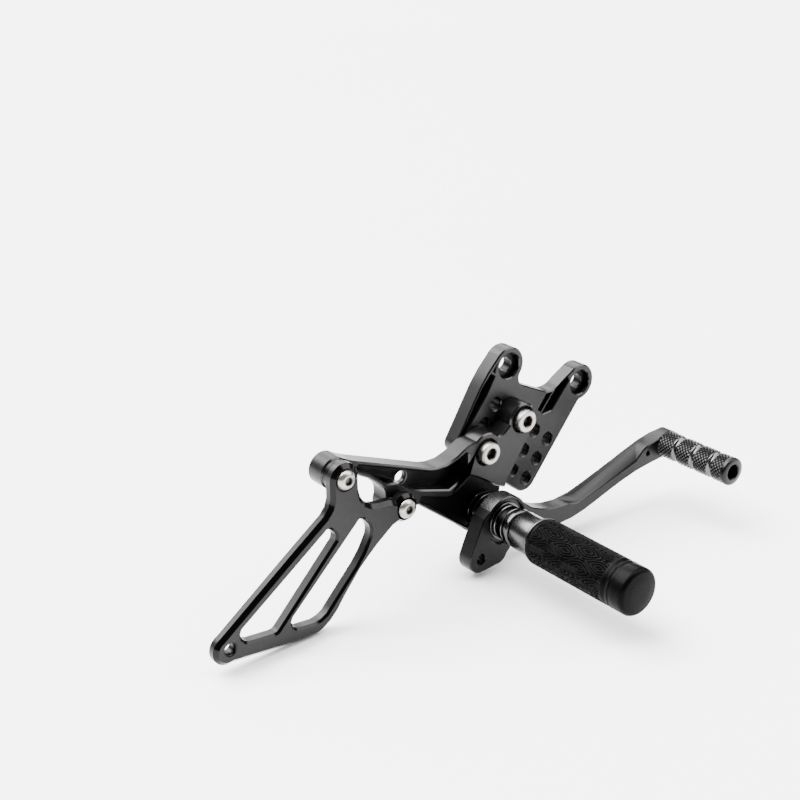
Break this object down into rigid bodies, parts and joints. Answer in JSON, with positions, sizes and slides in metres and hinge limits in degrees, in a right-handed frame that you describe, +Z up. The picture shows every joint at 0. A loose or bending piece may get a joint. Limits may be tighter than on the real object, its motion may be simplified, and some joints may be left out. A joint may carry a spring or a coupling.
{
  "type": "rear sets footrest",
  "caption": "Motorcycle rear set: drilled frame plate, peg hanger with skeleton heel guard, fixed rubber-sleeved foot peg and pivoting brake lever with knurled toe peg.",
  "frame": {"origin": "centre of the upper frame bolt hole, on the inboard face of the frame plate (the face that meets the motorcycle frame)", "axes": "+X forward on the motorcycle, +Y inboard (the foot peg points to -Y, the rider's right), +Z up; modelled as mounted on the right-hand side"},
  "size_m": [0.3212, 0.1415, 0.1134],
  "materials": {
    "anodised_plate": "satin grey anodised aluminium, milled flats and lighter edges",
    "anodised_hanger": "satin dark grey anodised aluminium",
    "anodised_lever": "satin grey anodised aluminium",
    "dark_collar": "glossy black anodised turned aluminium",
    "peg_metal": "satin dark anodised turned aluminium",
    "black_spacer": "black anodised turned aluminium",
    "stainless": "plain stainless steel",
    "steel_ground": "ground steel",
    "bronze": "plain bronze bush",
    "rubber": "black moulded rubber"
  },
  "bodies": {
    "carrier": {"frame_plate": "anodised_plate", "hanger": "anodised_hanger", "hanger_bolt_upper": "stainless", "hanger_bolt_lower": "stainless", "heel_guard": "anodised_hanger", "heel_guard_spacer_rear": "black_spacer", "heel_guard_spacer_front": "black_spacer", "heel_guard_screw_rear": "stainless", "heel_guard_screw_front": "stainless", "peg_bolt": "stainless", "peg_bolt_washer": "stainless", "pivot_sleeve": "steel_ground", "hub_spacer": "dark_collar", "inner_thrust_washer": "steel_ground", "outer_thrust_washer": "steel_ground", "peg_adapter": "dark_collar", "peg_seal": "rubber", "peg_core": "peg_metal", "peg_rubber": "rubber"},
    "lever": {"brake_lever": "anodised_lever", "lever_bush": "bronze", "toe_peg": "anodised_lever", "toe_peg_screw": "stainless"}
  },
  "joints": [
    {"name": "brake_lever_pivot", "type": "hinge", "parent": "carrier", "child": "lever", "pos_m": [-0.02936, -0.035, -0.0749], "axis": [0, 1, 0], "range_deg": [-10, 20]}
  ]
}
